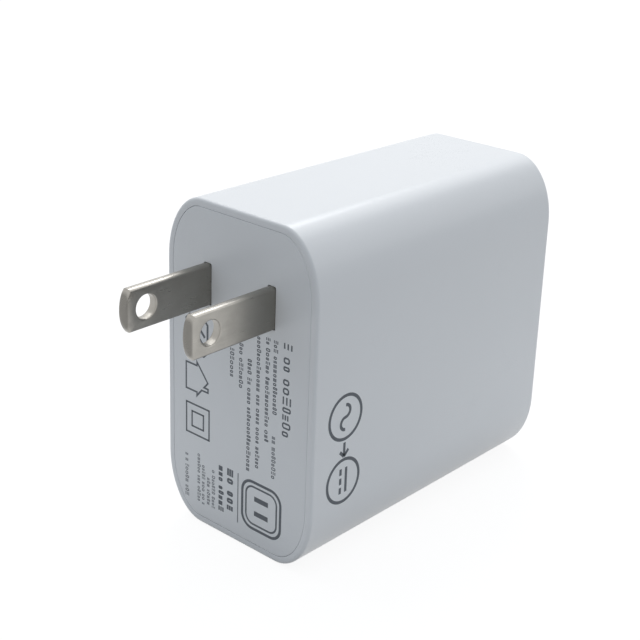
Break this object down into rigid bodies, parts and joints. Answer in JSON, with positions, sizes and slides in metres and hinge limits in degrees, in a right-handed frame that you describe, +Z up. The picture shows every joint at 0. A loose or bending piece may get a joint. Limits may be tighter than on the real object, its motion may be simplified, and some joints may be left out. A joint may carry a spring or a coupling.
{
  "type": "laptop power adapter",
  "caption": "Compact wall power adapter for a laptop: rounded upright housing, fixed flat blades on the plug face and a USB-C outlet socket on the opposite end.",
  "frame": {"origin": "on the plug face, midway between the middles of the two blades where they leave it", "axes": "+Z up as it stands on its narrow side, -Y out of the plug face towards the wall, +X across the two blades"},
  "size_m": [0.0298, 0.0724, 0.0521],
  "materials": {
    "housing_white": "smooth satin moulded white polycarbonate",
    "blade_nickel": "nickel-plated brass, drawn and tumbled",
    "nylon_grey": "moulded glass-filled nylon",
    "nylon_black": "moulded black nylon",
    "spring_brass": "stamped strip",
    "film": "translucent polyester film",
    "spreader_metal": "folded copper sheet",
    "circuit_board": "solder mask over glass-epoxy",
    "component_brown": "moulded",
    "coated_blue": "dipped epoxy coating",
    "coated_black": "dipped epoxy coating",
    "ferrite": "sintered ferrite",
    "copper_wire": "enamelled copper wire",
    "capacitor_yellow": "moulded box",
    "chip_black": "moulded epoxy",
    "capacitor_sleeve": "shrunk sleeve",
    "tape_yellow": "polyester tape",
    "capacitor_can": "bare drawn can",
    "chip_white": "moulded epoxy",
    "chip_tan": "fired ceramic",
    "thermal_pad": "soft filled silicone",
    "socket_steel": "drawn stainless shell",
    "contact_gold": "gold-plated pads"
  },
  "bodies": {
    "root": {"housing_shell": "housing_white", "plug_cover": "housing_white", "blade_left": "blade_nickel", "blade_right": "blade_nickel", "blade_retainer": "nylon_grey", "contact_spring_left": "spring_brass", "contact_spring_right": "spring_brass", "insulating_film": "film", "heat_spreader": "spreader_metal", "main_board": "circuit_board", "fuse": "component_brown", "varistor": "coated_blue", "thermistor": "coated_black", "choke_base": "nylon_black", "choke_core": "ferrite", "choke_winding_live": "copper_wire", "choke_winding_neutral": "copper_wire", "x_capacitor": "capacitor_yellow", "bridge_rectifier": "chip_black", "bulk_capacitor_front": "capacitor_sleeve", "bulk_capacitor_back": "capacitor_sleeve", "insulating_barrier": "film", "transformer_bobbin": "nylon_black", "transformer_winding": "copper_wire", "transformer_tape": "tape_yellow", "transformer_core_lower": "ferrite", "transformer_core_upper": "ferrite", "y_capacitor": "coated_blue", "output_capacitor_front": "capacitor_can", "output_capacitor_back": "capacitor_can", "power_switch": "chip_black", "power_controller": "chip_black", "optocoupler": "chip_white", "sync_rectifier": "chip_black", "chip_parts": "chip_tan", "thermal_pad_input": "thermal_pad", "thermal_pad_output": "thermal_pad", "port_board": "circuit_board", "port_controller": "chip_black", "usb_c_shell": "socket_steel", "usb_c_tongue": "nylon_black", "usb_c_contacts": "contact_gold"}
  },
  "joints": []
}
